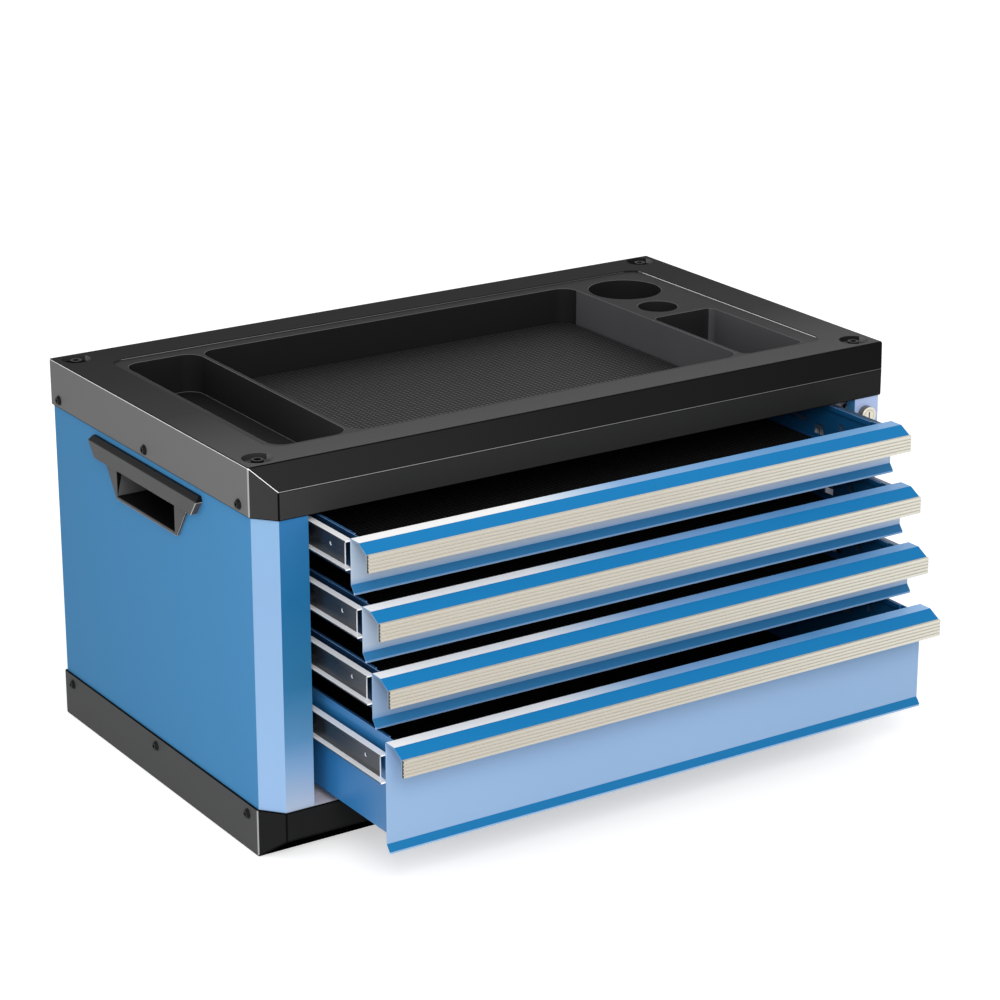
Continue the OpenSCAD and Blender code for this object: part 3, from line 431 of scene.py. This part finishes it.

# ---- Finishes ----
# Painted light and shade: the black ABS of the top and the base is one colour, but its sides, fronts,
# bevels and deck each get their own, and the runs darken them towards the back or the right.
top_side = moulded_abs(
    "moulded ABS side of the top", "#6b6b6b", sheen=0.05, run=("Y", [(-203, "#6b6b6b"), (203, "#666666")])
)
base_side = moulded_abs(
    "moulded ABS side of the base", "#4c4c4c", sheen=0.03, run=("Y", [(-203, "#4c4c4c"), (203, "#484848")])
)
band_front = moulded_abs(
    "moulded ABS front", "#2b2b2b", sheen=0.03,
    run=("X", [(-345, "#353535"), (-220, "#2d2d2d"), (100, "#282828"), (345, "#1f1f1f")])
)
band_bevel = moulded_abs(
    "moulded ABS bevel", "#272727", sheen=0.02,
    run=("X", [(-345, "#272727"), (0, "#1a1a1a"), (345, "#101010")])
)
base_front = moulded_abs("moulded ABS front of the base", "#212121", "#1c1c1c", sheen=0.02)
base_bevel = moulded_abs("moulded ABS underside bevel", "#050505", "#020202", roughness=0.6, sheen=0.0)
band_deck = moulded_abs(
    "moulded ABS deck", "#424242", sheen=0.02,
    run=("Y", [(-203, "#4e4e4e"), (-120, "#464646"), (-20, "#2c2c2c"), (120, "#1b1b1b"), (203, "#151515")])
)
# Painted light and shade on the mouldings' edges: dark lines where an edge turns away from the light, and
# pale lines of painted highlight, the front one fading towards the right.
dark_edge = moulded_abs("moulded ABS shaded edge", "#0a0a0a", "#060606", sheen=0.02)
grey_edge_highlight = moulded_abs("moulded ABS edge, painted grey highlight", "#a8a8a8", "#9a9a9a", roughness=0.35)
bright_edge = moulded_abs("moulded ABS edge, painted white highlight", "#f4f4f4", "#e6e6e6", roughness=0.3)
front_edge_highlight = moulded_abs(
    "moulded ABS front edge, painted highlight", "#868686", roughness=0.4, sheen=0.1,
    run=("X", [(-345, "#868686"), (345, "#505050")])
)
# Painted light and shade on the tray: lighter at the front and darker towards the back, a lighter copy on
# the walls towards the light, and pale edges of painted highlight.
tray_abs = moulded_abs(
    "moulded ABS tray", "#262627", sheen=0.05,
    run=("Y", [(-160, "#373738"), (-100, "#2c2c2d"), (0, "#222223"), (150, "#1b1b1c")])
)
tray_wall = moulded_abs("moulded ABS tray wall towards the light", "#505052", "#48484a", sheen=0.05)
tray_edge = moulded_abs("moulded ABS tray edge", "#686869", "#5c5c5d", roughness=0.35, sheen=0.1)
# Painted light and shade on the grips: the pocket's forward walls lighter, the rest of the pocket and the
# grip's top and end faces near black, a pale line of painted highlight on the lower rim and dark shaded
# edges.
grip_nylon = moulded_abs("glass-filled nylon grip", "#4d4d4e", "#464647", roughness=0.4, sheen=0.08)
grip_wall = moulded_abs("glass-filled nylon pocket wall", "#5c5c5e", "#545456", roughness=0.4, sheen=0.08)
grip_dark = moulded_abs("glass-filled nylon pocket", "#0e0e0f", "#0a0a0b", roughness=0.4, sheen=0.08)
grip_edge = moulded_abs("glass-filled nylon grip edge", "#b4aca4", "#a79f97", roughness=0.35)
grip_shade = moulded_abs("glass-filled nylon shaded edge", "#141313", "#0e0d0d", roughness=0.35, sheen=0.1)
# Painted light and shade: the side panels' blue is one powder coat, but side, cut corner and each column
# get their own blues and runs, and the column's inner fold a pale line of painted highlight.
side_blue = powder_coat(
    "powder-coated side", "#4b89bb", gloss=0.03, run=("Y", [(-200, "#4486b8"), (203, "#3e7ca9")])
)
chamfer_blue = powder_coat(
    "powder-coated corner", "#90b1d7", gloss=0.1,
    run=("Z", [(60, "#90b1d7"), (150, "#8aacd1"), (230, "#86a7cd"), (300, "#82a7cc")])
)
left_column = powder_coat(
    "powder-coated left column", "#2a6f9f", gloss=0.1,
    run=("Z", [
        (45, "#aab7cc"), (85, "#7fa1c5"), (110, "#588bb5"),
        (160, "#2f709b"), (240, "#206898"), (320, "#2e6ea2")
    ])
)
right_column = powder_coat("powder-coated right column", "#b0c1e6", "#a6b9e0", gloss=0.1)
column_edge = powder_coat("powder-coated fold", "#93b8de", "#86add6")
# Painted light and shade on the drawer boxes: the deep drawer's outer side is the lit copy, the shallow
# drawers' the shaded one, and the rolled edge has a pale line of painted highlight.
box_inside = powder_coat("powder-coated drawer inside", "#155280", "#124a74", gloss=0.1)
box_outside = powder_coat("powder-coated drawer side", "#2d77b2", "#276fa8", roughness=0.3, gloss=0.5)
box_shaded = powder_coat("powder-coated shaded drawer side", "#16304e", "#122a46", gloss=0.1)
box_rim = powder_coat("powder-coated rolled edge", "#215383", "#1c4a78", roughness=0.4, gloss=0.1)
box_edge = powder_coat("powder-coated rolled edge, painted highlight", "#8fb2d8", "#7ea2cb")
# Painted light and shade: the fronts are one enamel, but upright, slope and flare each get their own blue,
# the deep drawer its own copies, and the lip a pale line of painted highlight.
deep_blue = powder_coat("enamelled deep front face", "#90adcf", "#8aa8cb", gloss=0.1)
slope_blue = powder_coat("enamelled slope", "#1b78b2", "#1972ab", gloss=0.04)
flare_blue = powder_coat("enamelled flare", "#2e6e9e", "#2a6a98", gloss=0.1)
deep_flare_blue = powder_coat("enamelled deep flare", "#1b71a5", "#196da0", gloss=0.1)
lip_blue = powder_coat("enamelled lip", "#b0cff0", "#a2c4ea", gloss=0.1)
# Painted light: the galvanised sheet is drawn near white so that the floor strip in the shade under the
# deep drawer still looks lit.
galvanised = galvanised_sheet("galvanised sheet", "#f4f0fa", "#e6e2ee")
# Painted reflections: the rails are one zinc plate, but the flanges are white, the web near black, and the
# rails at the right a painted shade of grey-blue.
rail_flange = zinc_plate("zinc-plated rail flange", "#ffffff", "#f4f5fa", metallic=0.1)
rail_web = zinc_plate("zinc-plated rail web", "#26282e", "#1b1c20", metallic=0.2)
rail_shaded = zinc_plate("zinc-plated shaded rail", "#586b84", "#4a5c74", metallic=0.3)
zinc = zinc_plate("zinc plate", "#9c9fa4", "#8c8f94")
ball_steel = zinc_plate("ball steel", "#e2e4e8", "#c8cad0", roughness=0.18)
# Painted light and shade on the pulls: the run lightens the strip towards the right, and its ends and
# underside are dark.
strip_metal = anodised_strip(
    "anodised aluminium strip", "#d2cec2", run=("X", [(-345, "#b9b3a7"), (0, "#beb9ad"), (345, "#d6d4c8")])
)
strip_groove = anodised_strip("anodised aluminium groove", "#ccc7ba", "#c4beb1")
strip_end_shade = anodised_strip("aluminium strip end, painted shade", "#484641", "#3c3a36")
# Painted shade on the lock: its side and its key slot are darker copies of the nickel.
nickel = satin_nickel("satin nickel", "#e2dece", "#d2ccbc")
nickel_side = satin_nickel("satin nickel side, painted shade", "#7c7a73", "#6c6a64")
key_slot = satin_nickel("satin nickel key slot, painted shade", "#1c1b19", "#141412")
drawer_mat = dimpled_rubber("foam rubber mat", "#060607", "#1b1b1d")
tray_mat = dimpled_rubber("foam rubber tray mat", "#0d0d0e", "#232325")
screw_black = black_oxide("black-oxide screw", "#0c0c0c", "#060606")


# ---- Mouldings ----
SIDE, DECK, FRONT, BEVEL, SHADED, GREY_HIGHLIGHT, BRIGHT, FRONT_HIGHLIGHT = range(8)


def moulding_faces(normal, centre):
    """Side, deck, front with the cut corners, and bevel of the top or the base, each in its own colour of
    painted light and shade.
    """
    if abs(normal.x) > STRAIGHT:
        return SIDE
    if normal.z > STRAIGHT:
        return DECK
    if abs(normal.z) > LEANING and normal.y < -LEANING:
        return BEVEL
    return FRONT


def on_left_edge(normal):
    return normal.x < -SIDEWAYS and abs(normal.z) < TURNED


def top_edges(normal, centre):
    """Painted highlights as pale lines along edges, and painted shade as dark ones where an edge turns away
    from the light.
    """
    if normal.x < -LEANING and normal.y < -HALF and normal.z > TURNED:
        return BRIGHT
    if normal.x < -MOSTLY and normal.z > TURNED:
        return BRIGHT
    if on_left_edge(normal):
        return GREY_HIGHLIGHT
    if normal.y < -MOSTLY and normal.z > TURNED:
        return FRONT_HIGHLIGHT
    return SHADED


def base_edges(normal, centre):
    """The base has a painted highlight along its left corner only, and painted shade on its other edges."""
    return GREY_HIGHLIGHT if on_left_edge(normal) else SHADED


for node, side, front, bevel, choose_edge in (
    ("top_frame", top_side, band_front, band_bevel, top_edges),
    ("base_frame", base_side, base_front, base_bevel, base_edges),
):
    dressed(
        node, [side, band_deck, front, bevel], 0.3, moulding_faces,
        [dark_edge, grey_edge_highlight, bright_edge, front_edge_highlight], choose_edge, long_mm=1.0, ringed=True
    )


# ---- Side panels and grips ----
PANEL, CORNER, COLUMN, FOLD = range(4)
GRIP, POCKET_WALL, POCKET, RIM, RIM_SHADED = range(5)
pocket_mouth = -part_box("left_side_panel")[0][0] - PANEL_SKIN * MM


def panel_faces(normal, centre):
    """Side, cut corner and column of a side panel, each in its own blue of painted light and shade."""
    if normal.y < -STRAIGHT:
        return COLUMN
    if abs(normal.x) > LEANING and normal.y < -LEANING:
        return CORNER
    return PANEL


def panel_edges(inward):
    """The column's inner fold shows a painted highlight as a pale line; the other edges have the colour of
    their faces.
    """
    def choose(normal, centre):
        if normal.x * inward > LEANING and normal.y < -LEANING:
            return FOLD
        return panel_faces(normal, centre)
    return choose


def grip_faces(normal, centre):
    """Face and underside of a grip; its pocket's walls that look forward, lighter as painted light; and the
    rest, dark as painted shade.
    """
    if abs(centre.x) < pocket_mouth:
        return POCKET_WALL if normal.y < -NEAREST else POCKET
    return GRIP if abs(normal.x) > STRAIGHT or normal.z < -LEANING else POCKET


def grip_edges(normal, centre):
    """A painted highlight as a pale line along the lower rim, and painted shade as dark lines elsewhere."""
    return RIM if normal.z < -TURNED and abs(centre.x) > pocket_mouth else RIM_SHADED


for side, inward, column in (("left", 1, left_column), ("right", -1, right_column)):
    dressed(
        side + "_side_panel", [side_blue, chamfer_blue, column], 0.5, panel_faces, [column_edge],
        panel_edges(inward)
    )
    dressed(
        side + "_grip", [grip_nylon, grip_wall, grip_dark], 0.8, grip_faces, [grip_edge, grip_shade],
        grip_edges, ringed=True
    )
    dressed(side + "_slide_posts", [galvanised])
dressed("back_panel", [side_blue])
dressed("floor_plate", [galvanised])


# ---- Tray, screws and lock ----
def tray_faces(normal, centre):
    """The right-hand walls of the centre and the front right wells face the light and are lighter as
    painted light, unlike the rest.
    """
    lit = normal.x < -HALF and abs(normal.z) < HALF
    return 1 if lit and centre.x > 0 and centre.y < LIT_BEFORE * MM else 0


def lock_faces(node):
    """Face of a piece of the lock, and its side with the key slot, darker as painted shade."""
    front_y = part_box(node)[0][1]

    def choose(normal, centre):
        return 0 if normal.y < -NEAREST and centre.y < front_y + LOCK_FACE * MM else 1
    return choose


dressed("tray", [tray_abs, tray_wall], 0.6, tray_faces, [tray_edge])
dressed("tray_mat", [tray_mat], 0.4)
dressed("band_screws", [screw_black], 0.2)
dressed("corner_screws", [screw_black], 0.2)
dressed("lock_housing", [nickel, nickel_side], 0.5, lock_faces("lock_housing"), segments=3)
dressed("lock_plug", [nickel, key_slot], 0.15, lock_faces("lock_plug"))
for node in ("rail_screws", "lock_nut", "lock_bar_studs", "lock_cam", "lock_bar", "lock_fingers"):
    dressed(node, [zinc])


# ---- Drawers ----
UPRIGHT, SLOPE, FLANGE, FLARE, LIP = range(5)
INSIDE, OUTSIDE, HEM, HEM_HIGHLIGHT = range(4)
RAIL_FLANGE, RAIL_WEB, RAIL_SHADED = range(3)
RIB, GROOVE, SHADED_END = range(3)


def front_faces(flare_top):
    """Uprights, slope, flange and flare of a drawer front, each in its own blue of painted light and shade.
    """
    def choose(normal, centre):
        if normal.z > STRAIGHT:
            return FLANGE
        if normal.z > LEANING:
            return FLARE if centre.z < flare_top else SLOPE
        return UPRIGHT
    return choose


def front_edges(lip_top, flare_top):
    """A painted highlight as a pale line along the lip; the other folds have the colour of their faces."""
    def choose(normal, centre):
        if centre.z < lip_top:
            return LIP
        if centre.z < flare_top:
            return FLARE
        return SLOPE if normal.z > LEANING else UPRIGHT
    return choose


def box_faces(middle):
    """Inside, outside and rolled top edge of a drawer box, told apart by its middle."""
    def choose(normal, centre):
        if normal.z > NEAREST:
            return HEM
        outward = (centre.x - middle.x) * normal.x + (centre.y - middle.y) * normal.y
        return OUTSIDE if outward > 0 else INSIDE
    return choose


def box_edges(hem_line):
    """A painted highlight as a pale line along the rolled edge; the other edges are as dark as the inside.
    """
    def choose(normal, centre):
        return HEM_HIGHLIGHT if normal.z > LEANING and centre.z > hem_line else INSIDE
    return choose


def rail_faces(normal, centre):
    """Flanges of a rail in a painted white reflection and its web in a painted dark one; those at the right
    see no light and take a painted shade.
    """
    if centre.x > 0:
        return RAIL_SHADED
    return RAIL_FLANGE if abs(normal.z) > NEAREST or abs(normal.y) > NEAREST else RAIL_WEB


def strip_faces(front_y):
    """Ribs and grooves' floors of a pull strip, and its ends and underside, dark as painted shade."""
    def choose(normal, centre):
        if abs(normal.x) > STRAIGHT or normal.z < -STRAIGHT:
            return SHADED_END
        return GROOVE if centre.y > front_y + GROOVE_FLOOR * MM else RIB
    return choose


def front_enamel(n, front_low):
    """A shallow front's powder coat with painted reflections: bluer just above the flare's fold and darker
    towards the left.
    """
    fold = front_low / MM + FLARE_FOLD
    face, left, middle = "#c5cfde", "#d7dfe4", "#f2f2f2"
    if n == 3:
        face, left, middle = "#bcc8d9", "#bacdde", "#c5d9e1"
    return powder_coat(
        f"enamelled front face {n}", "#b2c0d6", gloss=0.1,
        run=("Z", [(fold, "#7a9dc4"), (fold + 3, "#a4bad6"), (fold + 7, face), (fold + 43, face)]),
        across=("X", [(-290, left), (0, middle), (290, "#ffffff")])
    )


def flange_enamel(n):
    """A flange's powder coat: a white reflection at the left that falls off to the right."""
    right = "#a6d0fa" if n == DEEP_DRAWER else "#82b2e2"
    return powder_coat(
        f"enamelled flange {n}", "#8bb0da", roughness=0.35,
        run=("X", [
            (-345, "#ffffff"), (-130, "#ffffff"), (-70, "#c4dcf4"),
            (-20, "#90b8e6"), (160, "#649fd5"), (345, right)
        ])
    )


for n in DRAWERS:
    box_low, box_high = (Vector(corner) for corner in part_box(f"drawer_{n}_box"))
    front_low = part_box(f"drawer_{n}_front")[0][2]
    pull_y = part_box(f"drawer_{n}_pull")[0][1]
    lip_top, flare_top = front_low + LIP_TOP * MM, front_low + FLARE_TOP * MM
    # Painted light and shade: the deep drawer takes its own lit blues, the shallow ones take fronts with
    # painted reflections and the shaded outer side.
    if n == DEEP_DRAWER:
        upright, flare, outside = deep_blue, deep_flare_blue, box_outside
    else:
        upright, flare, outside = front_enamel(n, front_low), flare_blue, box_shaded
    dressed(
        f"drawer_{n}_box", [box_inside, outside, box_rim], 0.3, box_faces((box_low + box_high) / 2),
        [box_edge], box_edges(box_high.z - HEM_LINE * MM)
    )
    dressed(
        f"drawer_{n}_front", [upright, slope_blue, flange_enamel(n), flare], 0.4, front_faces(flare_top),
        [lip_blue], front_edges(lip_top, flare_top)
    )
    dressed(
        f"drawer_{n}_pull", [strip_metal, strip_groove, strip_end_shade], 0.15, strip_faces(pull_y), segments=1
    )
    dressed(f"drawer_{n}_mat", [drawer_mat])
    dressed(f"drawer_{n}_rails", [rail_flange, rail_web, rail_shaded], 0.15, rail_faces)
    dressed(f"drawer_{n}_catch", [zinc])
    dressed(f"cabinet_rails_{n}", [rail_flange, rail_web, rail_shaded], choose=rail_faces)
    dressed(f"ball_cages_{n}", [ball_steel])


# ---- Floor and light ----
def seen_by(tree, first, *others):
    """One for the kinds of ray that show the studio itself, and nought for those that light the box."""
    path = add_node(tree, "ShaderNodeLightPath").outputs
    seen = path[first]
    for ray in others:
        either = add_node(tree, "ShaderNodeMath", {"operation": "MAXIMUM"}, {0: seen, 1: path[ray]})
        seen = either.outputs[0]
    return seen


def lay_floor():
    """A matt white floor half a millimetre under the box. It glows to the camera and in shiny faces, but
    doesn't light the box."""
    bpy.ops.object.select_all(action="DESELECT")
    bpy.ops.mesh.primitive_plane_add(size=24, location=(0, 0, -0.5 * MM))
    floor = bpy.context.object
    floor.name = "studio_floor"
    material = bpy.data.materials.new("white studio floor")
    material.use_nodes = True
    tree = material.node_tree
    tree.nodes.clear()
    seen = seen_by(tree, "Is Camera Ray", "Is Glossy Ray")
    matt = add_node(tree, "ShaderNodeBsdfDiffuse", {"Color": linear("#e8e8e8")}).outputs[0]
    glow = add_node(tree, "ShaderNodeEmission", {"Color": linear("#ffffff"), "Strength": 0.5}).outputs[0]
    both = add_node(tree, "ShaderNodeAddShader", {}, {0: matt, 1: glow}).outputs[0]
    mixed = add_node(tree, "ShaderNodeMixShader", {}, {0: seen, 1: matt, 2: both}).outputs[0]
    add_node(tree, "ShaderNodeOutputMaterial", {}, {"Surface": mixed})
    floor.data.materials.append(material)


def light_studio():
    """White surroundings and three soft boxes: the key light high at the front left, and two weak ones,
    at the left and low in front."""
    world = bpy.data.worlds.new("studio")
    bpy.context.scene.world = world
    world.use_nodes = True
    tree = world.node_tree
    tree.nodes.clear()
    seen = seen_by(tree, "Is Camera Ray", "Is Glossy Ray", "Is Transmission Ray")
    strength = add_node(tree, "ShaderNodeMapRange", {"To Min": 0.7, "To Max": 1.0}, {"Value": seen})
    sky = add_node(
        tree, "ShaderNodeBackground", {"Color": linear("#ffffff")}, {"Strength": strength.outputs["Result"]}
    )
    add_node(tree, "ShaderNodeOutputWorld", {}, {"Surface": sky.outputs[0]})
    soft_box("key_box", (-1.25, -2.85, 2.15), aim=(0, 0, 0.2), width=1.8, height=1.6, power=62)
    soft_box("left_box", (-3.0, 0.2, 1.2), aim=(0, 0, 0.2), width=1.6, height=1.6, power=10)
    soft_box("low_box", (-1.2, -2.8, 0.45), aim=(0, 0, 0.1), width=1.4, height=0.5, power=9)


lay_floor()
light_studio()
bpy.context.scene.view_settings.view_transform = "Standard"
